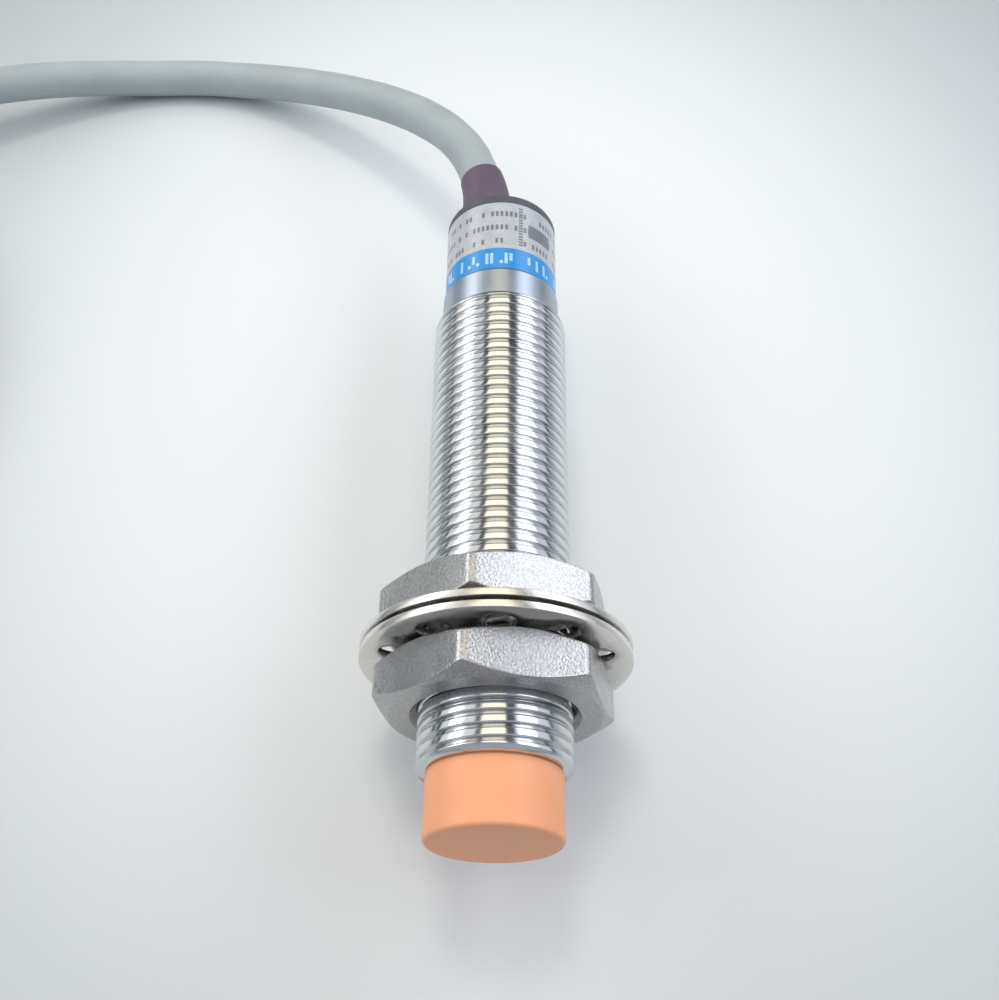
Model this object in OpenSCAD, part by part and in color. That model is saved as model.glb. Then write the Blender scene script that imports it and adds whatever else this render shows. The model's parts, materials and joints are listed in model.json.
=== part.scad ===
// Cylindrical inductive proximity sensor with an M12 x 1 threaded barrel, two hex nuts,
// two toothed lock washers and a moulded cable.
//
// The axis of the barrel is the Y axis. The origin is the centre of the sensing face, which
// looks towards -Y; the cable leaves at +Y, and +Z is up. Pieces that turn or slide on the
// thread are drawn where they stand when the sensor lies on the rims of its two washers.

/* [Thread] */
// Major radius of the thread
thread_r = 6; // [5:0.5:9]
// Pitch of the thread
pitch = 1; // [0.75:0.25:1.5]
// Depth of the groove below the crest
thread_depth = 0.55; // [0.4:0.05:0.8]
// Length of the threaded part
thread_len = 42.7; // [36:0.1:70]

/* [Barrel] */
// Radius of the bore through the barrel
bore_r = 4.7; // [4:0.05:5]
// Radius of the plain neck behind the thread
neck_r = 5.4; // [5.25:0.05:5.9]
// Length of the plain neck
neck_len = 2.9; // [1:0.1:10]
// Radius of the seat that the label is wrapped on
label_seat_r = 5.15; // [5.05:0.05:5.8]
// Length of the label seat
label_len = 8.3; // [6:0.1:20]
// Thickness of the label
label_t = 0.1; // [0.05:0.05:0.2]

/* [Sensing cap] */
// Radius of the cap outside the barrel
cap_r = 5.25; // [4.9:0.05:5.8]
// Length of the cap in front of the barrel
cap_len = 5.3; // [5:0.1:9]
// Thickness of the cap's face
cap_face_t = 0.9; // [0.5:0.1:1.2]
// Radius of the cap's hollow
cap_hollow_r = 4; // [3.8:0.05:4.2]
// Length of the skirt that is pressed into the barrel
cap_skirt_len = 6; // [3:0.5:8]
// Radius of the rounded front edge
cap_edge_r = 0.35; // [0.1:0.05:0.6]

/* [Nuts and washers] */
// Width across the flats of a nut
nut_af = 17; // [15:0.5:24]
// Thickness of a nut
nut_t = 4; // [3:0.5:6]
// Depth of the countersink at each end of a nut's bore
nut_sink = 0.6; // [0.2:0.1:0.8]
// Radial clearance between a nut and the thread crests
nut_clear = 0.05; // [0.03:0.01:0.1]
// Distance from the front end of the thread to the front nut
nut_setback = 4.4; // [1:0.1:8]
// Outer radius of a washer
washer_r = 10.8; // [10:0.1:14]
// Thickness of a washer
washer_t = 0.6; // [0.4:0.1:1]
// Radial clearance between the washer teeth and the thread crests
washer_clear = 0.2; // [0.15:0.05:0.4]
// Number of teeth on a washer
tooth_count = 10; // [8:1:12]
// Width of the slot between two teeth, at its round end
slot_w = 2.6; // [1.6:0.1:3]
// Distance from the axis to the round end of a slot
slot_r = 9.5; // [8.5:0.1:9.8]
// Gap between a nut and its washer
nut_gap = 0.3; // [0.1:0.05:0.5]
// Gap between the two washers
washer_gap = 0.35; // [0.3:0.05:3]
// Turn of the front nut about the axis
front_nut_turn = 15; // [0:1:59]
// Turn of the rear nut about the axis
rear_nut_turn = 18; // [0:1:59]
// Turn of the front washer about the axis
front_washer_turn = 19; // [0:1:44]
// Turn of the rear washer about the axis
rear_washer_turn = 1; // [0:1:44]

/* [End cap and strain relief] */
// Thickness of the end cap's rim
end_rim_t = 1.1; // [0.8:0.1:3]
// Length of the end cap inside the barrel
end_plug_len = 4; // [2:0.5:6]
// Offset of the cable outlet from the axis
outlet_x = -1.5; // [-2:0.1:0]
// Radius of the strain relief's stem in the end cap
stem_r = 2; // [1.8:0.05:2.2]
// Radius of the strain relief at the end cap
boot_base_r = 2.5; // [2.4:0.05:2.8]
// Radius of the strain relief at its tip
boot_tip_r = 2.2; // [2.1:0.05:2.5]
// Length of the strain relief before it bends
boot_straight_len = 3; // [2:0.1:6]
// Bend of the strain relief to the side, in degrees
boot_bend = 16; // [0:1:30]
// Radius of that bend
boot_bend_r = 15; // [12:0.5:20]

/* [Electronics] */
// Outer radius of the ferrite core
core_r = 3.85; // [3.5:0.05:3.9]
// Length of the ferrite core
core_len = 3.6; // [3:0.1:4]
// Radius of the ferrite core's centre post
post_r = 1.4; // [1:0.1:1.6]
// Wall of the ferrite core
core_wall = 0.7; // [0.5:0.1:0.9]
// Width of the circuit board
board_w = 8.2; // [7:0.1:8.4]
// Thickness of the circuit board
board_t = 0.8; // [0.6:0.1:1]
// Length of the resin plug behind the circuit board
rear_resin_len = 6; // [4:0.5:8]
// Radius of an insulated conductor
lead_r = 0.55; // [0.4:0.05:0.6]

/* [Cable] */
// Radius of the cable
cable_r = 2; // [1.5:0.1:2.2]
// Mean radius of the coiled length
coil_r = 21; // [18:0.5:24]
// Turns in the coil
coil_turns = 8.25; // [6.25:1:10.25]
// Turns on top of each other in the coil
coil_layers = 2; // [2:1:3]
// Width of the tie round the coil
tie_w = 4; // [3:0.5:8]
// Thickness of the tie
tie_t = 0.4; // [0.3:0.1:0.8]

/* [Hidden] */
$fn = 96;

fit_clear = 0.02;            // between a pressed piece and its seat
small_gap = 0.1;             // between loose pieces inside the barrel
nut_corner_r = nut_af / 2 / cos(30);
nut_face_r = nut_af / 2 - 0.2;
nut_cone_r = nut_corner_r + 0.2;                      // past the corners
nut_cone_h = (nut_cone_r - nut_face_r) * tan(30);
thread_y = cap_len;
front_nut_y = thread_y + nut_setback;
front_washer_y = front_nut_y + nut_t + nut_gap;
rear_washer_y = front_washer_y + washer_t + washer_gap;
rear_nut_y = rear_washer_y + washer_t + nut_gap;
neck_y = thread_y + thread_len;
label_y = neck_y + neck_len;
barrel_end_y = label_y + label_len;
end_face_y = barrel_end_y + end_rim_t;
stem_y = barrel_end_y - end_plug_len;
floor_z = -washer_r;

// Inside the cap
core_y = cap_face_t + small_gap;
groove_len = core_len - core_wall;
groove_r = core_r - core_wall;
coil_lead_r = 0.15;
coil_lead_hole_r = 0.25;
coil_lead_x = 2.4;
coil_lead_z = board_t / 2 + coil_lead_r + 0.05;
bobbin_wall = 0.3;
resin_r = cap_hollow_r - fit_clear;
resin_y = core_y + core_len + small_gap;
skirt_end_y = thread_y + cap_skirt_len;
board_y = skirt_end_y + 0.5;
board_top = board_t / 2;
rear_resin_y = stem_y - rear_resin_len;
board_end_y = rear_resin_y - 0.4;
board_len = board_end_y - board_y;
board_steps = 37;            // the layout's places are counted in these
board_step = board_len / board_steps;
lead_pad_y = board_end_y - 4.5;
board_lead_r = 0.45;
board_lead_pitch = 1.1;
board_lead_z = board_top + board_lead_r + 0.1;
wire_hole_r = board_lead_r + 0.05;

// Centre line of the strain relief: straight, then an arc towards -X
boot_arc_y = end_face_y + boot_straight_len;
boot_steps = 8;
boot_route = concat(
    [[outlet_x, end_face_y, 0], [outlet_x, end_face_y + 1.2, 0]],
    [for (i = [0 : boot_steps]) let (a = boot_bend * i / boot_steps)
        [outlet_x - boot_bend_r * (1 - cos(a)), boot_arc_y + boot_bend_r * sin(a), 0]]);
boot_tip = boot_route[len(boot_route) - 1];

// Cable route: the run from the strain relief's tip down to the surface that the washers
// stand on, along it and up onto the coil, then the tail from the coil to the jacket's end
rest_z = floor_z + cable_r;
top_z = rest_z + 2 * cable_r;
run_route = [
    boot_tip, [-2.6, 69, 0], [-3.4, 71, 0], [-4.8, 73.6, -0.2], [-7.6, 77.3, -1],
    [-11.4, 81.2, -2.4], [-16.2, 84.9, -4.2], [-21.2, 88.3, -6], [-26.4, 91, -7.6],
    [-31.4, 92.6, -8.5],
    [-36.4, 93.1, rest_z], [-41, 92.9, rest_z], [-46, 92.3, -8.3], [-52, 90.6, -7.1],
    [-57, 88.3, -5.8], [-62, 85.8, -5], [-68, 83.4, top_z], [-75, 81.6, top_z],
    [-82, 81, top_z]];
tail_route = [
    [-115.1, 54, rest_z], [-115.4, 48, rest_z], [-116, 43, rest_z], [-117, 38, rest_z]];
coil_x = -86;
coil_y = 51.75;
coil_h = coil_layers * 2 * cable_r;
coil_half_w = cable_r * (coil_turns / coil_layers + 1);
tube_sides = 10;

// Bared conductors at the end of the tail
jacket_end = tail_route[len(tail_route) - 1];
lead_len = 24;
tip_len = 6;
tip_r = 0.35;
lead_heading = -99;          // from +X, in degrees
lead_fan = 5;                // between neighbouring leads, in degrees
lead_pitch = 2 * lead_r + 0.1;

// Turns a shape drawn along +Z so that it lies along +Y, and moves it to y
module along_y(y = 0) {
    translate([0, y, 0]) rotate([-90, 0, 0]) children();
}

// A rod along Y from y0 to y1
module rod(r, y0, y1, x = 0, z = 0) {
    translate([x, 0, z]) along_y(y0) cylinder(h = y1 - y0, r = r);
}

// A block on the board's upper face (side = 1) or lower face (side = -1)
module chip(size, x, y, side = 1) {
    z = side > 0 ? board_top : -board_top - size[2];
    translate([x - size[0] / 2, y - size[1] / 2, z]) cube(size);
}

function unit(v) = v / norm(v);

// Direction of a route at its point i
function heading(route, i) =
    i == 0 ? unit(route[1] - route[0])
    : i == len(route) - 1 ? unit(route[i] - route[i - 1])
    : unit(unit(route[i] - route[i - 1]) + unit(route[i + 1] - route[i]));

// Ring of points round route point i, square to the route
function ring(route, i, r, sides) =
    let (t = heading(route, i), side = unit(cross(t, [0, 0, 1])), lift = cross(side, t))
    [for (k = [0 : sides - 1])
        route[i] + r * (cos(360 * k / sides) * side + sin(360 * k / sides) * lift)];

// Solid tube along a route, its radius changing evenly from r0 to r1 with the route's points
module tube(route, r0, r1, sides = tube_sides) {
    last = len(route) - 1;
    rings = [for (i = [0 : last]) each ring(route, i, r0 + (r1 - r0) * i / last, sides)];
    start_face = [for (k = [0 : sides - 1]) sides - 1 - k];
    end_face = [for (k = [0 : sides - 1]) last * sides + k];
    walls = [for (i = [0 : last - 1], k = [0 : sides - 1])
        let (a = i * sides + k, b = i * sides + (k + 1) % sides)
        each [[a, b, a + sides], [b, b + sides, a + sides]]];
    polyhedron(points = rings, faces = concat([start_face], walls, [end_face]));
}

module sensing_cap() {
    skirt_r = bore_r - fit_clear;
    color("#f08a4b") along_y() rotate_extrude() difference() {
        polygon(concat(
            [[0, 0]],
            [for (a = [-90 : 15 : 0])
                [cap_r - cap_edge_r + cap_edge_r * cos(a), cap_edge_r + cap_edge_r * sin(a)]],
            [[cap_r, cap_len], [skirt_r, cap_len], [skirt_r, skirt_end_y], [0, skirt_end_y]]));
        translate([0, cap_face_t]) square([cap_hollow_r, skirt_end_y]);
    }
}

module ferrite_core() {
    color("#3a3a3c") difference() {
        rod(core_r, core_y, core_y + core_len);
        difference() {
            rod(groove_r, core_y - 1, core_y + groove_len);
            rod(post_r, core_y - 2, core_y + core_len);
        }
        for (s = [-1, 1])
            rod(coil_lead_hole_r, core_y, core_y + core_len + 1, s * coil_lead_x, coil_lead_z);
    }
}

module coil_bobbin() {
    inner_r = post_r + small_gap;
    outer_r = groove_r - small_gap;
    y0 = core_y + small_gap;
    y1 = core_y + groove_len - small_gap;
    color("#e8e0d0") difference() {
        rod(outer_r, y0, y1);
        rod(inner_r, y0 - 1, y1 + 1);
        difference() {
            rod(outer_r + 1, y0 + bobbin_wall, y1 - bobbin_wall);
            rod(inner_r + bobbin_wall, y0, y1);
        }
        for (s = [-1, 1])
            rod(coil_lead_hole_r, y1 - bobbin_wall - 0.1, y1 + 1, s * coil_lead_x, coil_lead_z);
    }
}

module coil_winding() {
    y0 = core_y + small_gap + bobbin_wall;
    y1 = core_y + groove_len - small_gap - bobbin_wall;
    color("#b5651d") difference() {
        rod(groove_r - 2 * small_gap, y0, y1);
        rod(post_r + small_gap + bobbin_wall, y0 - 1, y1 + 1);
    }
}

module coil_leads() {
    y0 = core_y + groove_len - small_gap - bobbin_wall;
    color("#b5651d") for (s = [-1, 1])
        rod(coil_lead_r, y0, board_y + 2, s * coil_lead_x, coil_lead_z);
}

module front_resin() {
    color("#2b2b30") difference() {
        rod(resin_r, resin_y, skirt_end_y);
        for (s = [-1, 1])
            rod(coil_lead_hole_r, resin_y - 1, skirt_end_y + 1, s * coil_lead_x, coil_lead_z);
    }
}

module circuit_board() {
    color("#1f6b3a")
        translate([-board_w / 2, board_y, -board_t / 2]) cube([board_w, board_len, board_t]);
}

module oscillator_chip() {
    color("#222222") chip([4, 5, 1.5], 0, board_y + 8 * board_step);
}

module output_transistor() {
    color("#222222") chip([4.5, 2.6, 1.5], 0, board_y + 26 * board_step);
}

module chip_resistors() {
    color("#101014") {
        for (k = [13, 15.5, 18, 20.5]) chip([2, 1.2, 0.5], -2, board_y + k * board_step);
        for (k = [6, 10, 14]) chip([2, 1.2, 0.5], 1.6, board_y + k * board_step, -1);
    }
}

module chip_capacitors() {
    color("#b89c6c") {
        for (k = [13, 16, 19]) chip([2, 1.2, 1], 2, board_y + k * board_step);
        chip([3.2, 1.6, 1.2], 0, board_y + 20 * board_step, -1);
    }
}

module protection_diodes() {
    color("#1c1c1c") for (x = [-2, 2]) chip([1.6, 3.4, 1.2], x, board_y + 26 * board_step, -1);
}

module indicator_led() {
    color("#d8301e") chip([1.6, 2.6, 1], 2.6, board_end_y - 1.6);
}

module solder_joints() {
    color("#c8c8cc") {
        for (k = [-1 : 1])
            translate([outlet_x + k * board_lead_pitch, lead_pad_y - 0.7, board_top])
                cylinder(h = 0.45, r = 0.5);
        for (s = [-1, 1])
            translate([s * coil_lead_x, board_y + 2.7, board_top]) cylinder(h = 0.4, r = 0.5);
    }
}

module board_leads() {
    colours = ["#7a4a2a", "#2a5fb0", "#202020"];
    for (k = [0 : 2])
        color(colours[k])
            rod(board_lead_r, lead_pad_y, stem_y, outlet_x + (k - 1) * board_lead_pitch, board_lead_z);
}

module rear_resin() {
    color("#2b2b30") difference() {
        rod(bore_r - fit_clear, rear_resin_y, stem_y);
        for (k = [-1 : 1])
            rod(wire_hole_r, rear_resin_y - 1, stem_y + 1,
                outlet_x + k * board_lead_pitch, board_lead_z);
    }
}

// Outline of the thread: one crest and one groove to a pitch, between y0 and y1
function thread_outline(y0, y1) =
    let (root_r = thread_r - thread_depth, flat = pitch / 8, turns = floor((y1 - y0) / pitch))
    [for (i = [0 : turns - 1]) let (y = y0 + i * pitch) each [
        [root_r, y], [root_r, y + flat],
        [thread_r, y + pitch / 2 - flat / 2], [thread_r, y + pitch / 2 + flat]],
     [root_r, y0 + turns * pitch]];

module threaded_barrel() {
    color("#c9ccd0") along_y() rotate_extrude() polygon(concat(
        [[bore_r, thread_y]],
        thread_outline(thread_y, neck_y),
        [[neck_r, neck_y], [neck_r, label_y], [label_seat_r, label_y],
         [label_seat_r, barrel_end_y], [bore_r, barrel_end_y]]));
}

// Hex nut with both faces chamfered and both ends of the bore countersunk
module hex_nut(y, turn) {
    bore = thread_r + nut_clear;
    along_y(y) difference() {
        intersection() {
            rotate([0, 0, turn]) cylinder(h = nut_t, r = nut_corner_r, $fn = 6);
            rotate_extrude() polygon([
                [0, 0], [nut_face_r, 0], [nut_cone_r, nut_cone_h],
                [nut_cone_r, nut_t - nut_cone_h], [nut_face_r, nut_t], [0, nut_t]]);
        }
        rotate_extrude() polygon([
            [0, -1], [bore + nut_sink, -1], [bore + nut_sink, 0], [bore, nut_sink],
            [bore, nut_t - nut_sink], [bore + nut_sink, nut_t], [bore + nut_sink, nut_t + 1],
            [0, nut_t + 1]]);
    }
}

module front_nut() {
    color("#b9bcc0") hex_nut(front_nut_y, front_nut_turn);
}

module rear_nut() {
    color("#b9bcc0") hex_nut(rear_nut_y, rear_nut_turn);
}

// Internal-tooth lock washer: a flat ring, slotted from its bore outwards
module lock_washer(y, turn) {
    slot_end = slot_r - slot_w / 2;
    along_y(y) linear_extrude(height = washer_t) difference() {
        circle(r = washer_r);
        circle(r = thread_r + washer_clear);
        for (k = [0 : tooth_count - 1]) rotate(turn + 360 * k / tooth_count) {
            translate([slot_end, 0]) circle(r = slot_w / 2, $fn = 32);
            polygon([[thread_r, -0.9], [slot_end, -slot_w / 2], [slot_end, slot_w / 2],
                     [thread_r, 0.9]]);
        }
    }
}

module front_washer() {
    color("#c4c6ca") lock_washer(front_washer_y, front_washer_turn);
}

module rear_washer() {
    color("#c4c6ca") lock_washer(rear_washer_y, rear_washer_turn);
}

module rating_label() {
    color("#e9ecef") difference() {
        rod(label_seat_r + label_t, label_y, barrel_end_y);
        rod(label_seat_r, label_y - 1, barrel_end_y + 1);
    }
}

module end_cap() {
    rim_r = label_seat_r + label_t;
    color("#3b3d44") difference() {
        union() {
            along_y(barrel_end_y) rotate_extrude() polygon([
                [0, 0], [rim_r, 0], [rim_r, end_rim_t - 0.4], [rim_r - 0.12, end_rim_t - 0.12],
                [rim_r - 0.4, end_rim_t], [0, end_rim_t]]);
            rod(bore_r - fit_clear, stem_y, barrel_end_y);
        }
        rod(stem_r, stem_y - 1, end_face_y + 1, outlet_x);
    }
}

module strain_relief() {
    color("#7d5f72") {
        rod(stem_r, stem_y, end_face_y, outlet_x);
        tube(boot_route, boot_base_r, boot_tip_r, 24);
    }
}

module cable_run() {
    color("#97a5a5") tube(run_route, cable_r, cable_r);
}

module cable_tail() {
    color("#97a5a5") tube(tail_route, cable_r, cable_r);
}

module cable_coil() {
    color("#97a5a5") translate([coil_x, coil_y, floor_z]) rotate_extrude()
        translate([coil_r - coil_half_w, 0]) square([2 * coil_half_w, coil_h]);
}

// Flat band round the coil's turns, on the side towards -Y
module coil_tie() {
    inner = [tie_w + 2, 2 * coil_half_w + 2 * small_gap, coil_h + small_gap - tie_t];
    outer = [tie_w, inner[1] + 2 * tie_t, coil_h + small_gap + tie_t];
    color("#2a2a2a") translate([coil_x, coil_y - coil_r, floor_z]) difference() {
        translate([-outer[0] / 2, -outer[1] / 2, 0]) cube(outer);
        translate([-inner[0] / 2, -inner[1] / 2, tie_t]) cube(inner);
    }
}

// A straight round piece of a bared conductor: k is its place in the fan, from l0 to l1
module lead_piece(k, r, l0, l1) {
    translate([jacket_end[0], jacket_end[1], floor_z + lead_r])
        rotate([0, 0, lead_heading]) translate([0, k * lead_pitch, 0])
            rotate([0, 0, k * lead_fan]) translate([l0, 0, 0])
                rotate([0, 90, 0]) cylinder(h = l1 - l0, r = r);
}

module brown_lead() {
    color("#7a4a2a") lead_piece(1, lead_r, 0.3, lead_len);
}

module blue_lead() {
    color("#2a5fb0") lead_piece(0, lead_r, 0.3, lead_len);
}

module black_lead() {
    color("#202020") lead_piece(-1, lead_r, 0.3, lead_len);
}

module lead_tips() {
    color("#c8c8cc") for (k = [-1 : 1]) lead_piece(k, tip_r, lead_len, lead_len + tip_len);
}

sensing_cap();
ferrite_core();
coil_bobbin();
coil_winding();
coil_leads();
front_resin();
circuit_board();
oscillator_chip();
output_transistor();
chip_resistors();
chip_capacitors();
protection_diodes();
indicator_led();
solder_joints();
board_leads();
rear_resin();
threaded_barrel();
front_nut();
front_washer();
rear_washer();
rear_nut();
rating_label();
end_cap();
strain_relief();
cable_run();
cable_coil();
cable_tail();
coil_tie();
brown_lead();
blue_lead();
black_lead();
lead_tips();
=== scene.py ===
import json
import math

import bmesh
import bpy
from mathutils import Matrix, Vector


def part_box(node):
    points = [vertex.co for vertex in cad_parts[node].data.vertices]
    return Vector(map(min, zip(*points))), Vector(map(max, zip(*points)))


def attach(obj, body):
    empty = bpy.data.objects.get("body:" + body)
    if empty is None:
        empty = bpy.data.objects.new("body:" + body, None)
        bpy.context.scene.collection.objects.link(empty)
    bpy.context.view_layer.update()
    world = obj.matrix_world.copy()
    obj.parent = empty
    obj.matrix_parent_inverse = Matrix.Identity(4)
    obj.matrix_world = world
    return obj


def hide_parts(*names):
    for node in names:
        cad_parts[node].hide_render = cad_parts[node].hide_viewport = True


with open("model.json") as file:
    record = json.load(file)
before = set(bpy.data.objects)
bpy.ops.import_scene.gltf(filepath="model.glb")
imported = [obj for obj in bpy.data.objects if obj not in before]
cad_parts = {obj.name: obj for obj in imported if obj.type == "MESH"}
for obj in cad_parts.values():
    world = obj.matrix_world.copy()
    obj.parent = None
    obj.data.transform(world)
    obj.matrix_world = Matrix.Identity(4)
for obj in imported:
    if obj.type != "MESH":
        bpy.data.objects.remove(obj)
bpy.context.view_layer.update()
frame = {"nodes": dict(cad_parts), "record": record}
MM = 0.001

# Camera: it looks down on the sensor from in front of its sensing face, from so near that the
# barrel narrows towards the cable.
LENS_MM = 42.7
SENSOR_MM = 36
CAMERA_Y = -23.23 * MM
CAMERA_Z = 86.64 * MM
CAMERA_TILT = math.radians(31.26)
CAMERA_PAN = math.radians(-0.12)
CAMERA_ROLL = math.radians(0.83)
camera = bpy.data.objects.new("camera", bpy.data.cameras.new("camera"))
bpy.context.scene.collection.objects.link(camera)
camera.data.lens = LENS_MM
camera.data.sensor_width = SENSOR_MM
camera.data.clip_start = 0.005
camera.data.clip_end = 10
camera_turn = (Matrix.Rotation(CAMERA_PAN, 4, "Z") @ Matrix.Rotation(CAMERA_TILT, 4, "X")
               @ Matrix.Rotation(CAMERA_ROLL, 4, "Z"))
camera.matrix_world = Matrix.Translation((0, CAMERA_Y, CAMERA_Z)) @ camera_turn
bpy.context.scene.camera = camera

# Studio: a matt pale table top under long soft panels, in a dim room, so that bright metal has
# something light and something dark to reflect.
SURFACE_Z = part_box("front_washer")[0][2]


def linear(hex_colour):
    """The linear colour of an sRGB hex value such as "#c8ccd0"."""
    parts = [int(hex_colour[i:i + 2], 16) / 255 for i in (1, 3, 5)]
    return [p / 12.92 if p <= 0.04045 else ((p + 0.055) / 1.055) ** 2.4 for p in parts] + [1.0]


def add(material, kind, settings=None, links=None):
    """Adds a node of that kind with its settings, and links its inputs to other outputs."""
    node = material.node_tree.nodes.new("ShaderNode" + kind)
    for name, value in (settings or {}).items():
        if isinstance(name, str) and hasattr(node, name):
            setattr(node, name, value)
        else:
            node.inputs[name].default_value = value
    for name, output in (links or {}).items():
        material.node_tree.links.new(output, node.inputs[name])
    return node


def new_material(name, **sockets):
    """A material whose one shader has these constants on its own sockets."""
    material = bpy.data.materials.new(name)
    material.use_nodes = True
    material.node_tree.nodes.clear()
    shader = add(material, "BsdfPrincipled",
                 {key.replace("_", " "): value for key, value in sockets.items()})
    add(material, "OutputMaterial", links={"Surface": shader.outputs["BSDF"]})
    return material, shader


def feed(material, shader, **links):
    """Links outputs to the shader's sockets."""
    for name, output in links.items():
        material.node_tree.links.new(output, shader.inputs[name.replace("_", " ")])


def surface(name, shades, roughness, patch, grain, height, **sockets):
    """A material of two shades and two roughnesses, mixed over patches, with a fine bump.

    patch and grain are the sizes of the patches and of the bump's grains, and height is how high
    the grains stand, all in metres.
    """
    material, shader = new_material(name, **sockets)
    space = add(material, "TexCoord").outputs["Object"]
    clouds = add(material, "TexNoise", {"Scale": 1 / patch, "Detail": 5, "Roughness": 0.6},
                 {"Vector": space})
    tint = add(material, "ValToRGB", links={"Fac": clouds.outputs["Fac"]})
    for stop, place, shade in zip(tint.color_ramp.elements, (0.35, 0.68), shades):
        stop.position = place
        stop.color = linear(shade)
    wear = add(material, "MapRange", {"From Min": 0.3, "From Max": 0.7, "To Min": roughness[0],
                                      "To Max": roughness[1]}, {"Value": clouds.outputs["Fac"]})
    grains = add(material, "TexNoise", {"Scale": 1 / grain, "Detail": 3}, {"Vector": space})
    relief = add(material, "Bump", {"Strength": 1, "Distance": height},
                 {"Height": grains.outputs["Fac"]})
    feed(material, shader, Base_Color=tint.outputs["Color"], Roughness=wear.outputs["Result"],
         Normal=relief.outputs["Normal"])
    return material


# Matt paint with a grain too fine to see as more than a softness. Its colour is painted light under
# the sensor and painted shade further out, growing darker towards the edges.
TABLE_HALF = 3
table_paint, table_shader = new_material("matt_painted_table_top")
table_space = add(table_paint, "TexCoord").outputs["Object"]
table_way = add(table_paint, "Mapping", {"Location": (0, -0.62, 0), "Scale": (16, 13, 0)},
                {"Vector": table_space})
table_reach = add(table_paint, "VectorMath", {"operation": "LENGTH"},
                  {0: table_way.outputs["Vector"]})
# Painted shade: the table's colour darkens with distance from under the sensor, standing in for
# light that falls off.
table_painted_shade = add(table_paint, "MapRange", {"interpolation_type": "SMOOTHSTEP", "From Min": 0.35,
                                           "From Max": 1.5, "To Min": 0, "To Max": 1},
                 {"Value": table_reach.outputs["Value"]})
table_shade_tint = add(table_paint, "ValToRGB", links={"Fac": table_painted_shade.outputs["Result"]})
# The light shade is the paint's own colour; the dark one is painted shade for the far edges.
table_shade_tint.color_ramp.elements[0].color = linear("#e4e9eb")
table_shade_tint.color_ramp.elements[1].color = linear("#a2aaad")
table_grain = add(table_paint, "TexNoise", {"Scale": 1 / 0.0006, "Detail": 3},
                  {"Vector": table_space})
table_wear = add(table_paint, "MapRange", {"To Min": 0.5, "To Max": 0.62},
                 {"Value": table_grain.outputs["Fac"]})
table_relief = add(table_paint, "Bump", {"Distance": 0.01 * MM},
                   {"Height": table_grain.outputs["Fac"]})
feed(table_paint, table_shader, Base_Color=table_shade_tint.outputs["Color"],
     Roughness=table_wear.outputs["Result"], Normal=table_relief.outputs["Normal"])
bm = bmesh.new()
bmesh.ops.create_grid(bm, x_segments=1, y_segments=1, size=TABLE_HALF)
bmesh.ops.translate(bm, verts=bm.verts, vec=(0, 0, SURFACE_Z))
mesh = bpy.data.meshes.new("table_top")
bm.to_mesh(mesh)
bm.free()
table_top = bpy.data.objects.new("table_top", mesh)
mesh.materials.append(table_paint)
bpy.context.scene.collection.objects.link(table_top)

# The room is dark behind the sensor and lighter in front of it.
world = bpy.data.worlds.new("studio")
world.use_nodes = True
background = world.node_tree.nodes["Background"]
background.inputs["Color"].default_value = linear("#dde1ec")
world_way = add(world, "TexCoord").outputs["Generated"]
world_place = add(world, "SeparateXYZ", links={"Vector": world_way})
world_glow = add(world, "MapRange", {"From Min": -0.35, "From Max": 0.15, "To Min": 0.62,
                                     "To Max": 0.15}, {"Value": world_place.outputs["Y"]})
world.node_tree.links.new(world_glow.outputs["Result"], background.inputs["Strength"])
bpy.context.scene.world = world
bpy.context.scene.view_settings.view_transform = "Standard"

# The panels over the barrel are the bright streaks that its thread reflects.
PANEL_LEN = 0.6
PANEL_Y = 0.25
KEY_SIDE = 0.12


def panel(name, lean, reach, width, power, colour):
    """A long soft panel along the barrel, leaning that many degrees from straight up.

    reach is how far it is from the barrel's axis and width is how wide it is, in metres, and
    power is in watts.
    """
    data = bpy.data.lights.new(name, "AREA")
    data.shape = "RECTANGLE"
    data.size = width
    data.size_y = PANEL_LEN
    data.energy = power
    data.color = linear(colour)[:3]
    lamp = bpy.data.objects.new(name, data)
    turn = Matrix.Rotation(math.radians(lean), 4, "Y")
    lamp.matrix_world = turn @ Matrix.Translation((0, PANEL_Y, reach))
    bpy.context.scene.collection.objects.link(lamp)
    return lamp


panel("warm_panel", -2.5, 0.4, 0.25, 0.74, "#fff4dc")
panel("left_panel", -56, 0.4, 0.42, 0.7, "#fcfaf6")
panel("right_panel", 56, 0.4, 0.42, 0.64, "#f0f3ff")
panel("left_strip", -57.5, 0.39, 0.13, 0.52, "#fafcff")
panel("right_strip", 46.5, 0.39, 0.19, 0.66, "#f6f9ff")
# The key light gives the shadows, and isn't itself seen in the metal.
key_light = panel("key_light", -6, 0.55, KEY_SIDE, 0.6, "#ffffff")
key_light.data.size_y = KEY_SIDE
key_light.visible_glossy = False

# Cable: a round grey PVC jacket, extruded over three cores. It leaves the strain relief,
# comes down to the table, and its spare length is wound into a flat coil and tied.
CABLE_R = 2 * MM
REST_Z = SURFACE_Z + CABLE_R
TOP_Z = REST_Z + 2 * CABLE_R
OUTLET = Vector((-1.5 * MM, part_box("end_cap")[1][1], 0))
COIL_CENTRE = Vector((-86 * MM, 51.75 * MM, 0))
COIL_R = 21 * MM
COIL_TURNS = 8.25
POINTS_A_TURN = 24
RELIEF_STRAIGHT = 3 * MM
RELIEF_BEND_R = 15 * MM
RELIEF_BEND = math.radians(16)
RELIEF_STEPS = 4
EASE = 0.5
EASE_BACK = -0.52
EASE_ROUNDS = 6


def relief_bend(share):
    """A point on the middle of the strain relief's bend, that share of the way to its tip."""
    turn = RELIEF_BEND * share
    return Vector((OUTLET.x - RELIEF_BEND_R * (1 - math.cos(turn)),
                   OUTLET.y + RELIEF_STRAIGHT + RELIEF_BEND_R * math.sin(turn), 0))


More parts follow.
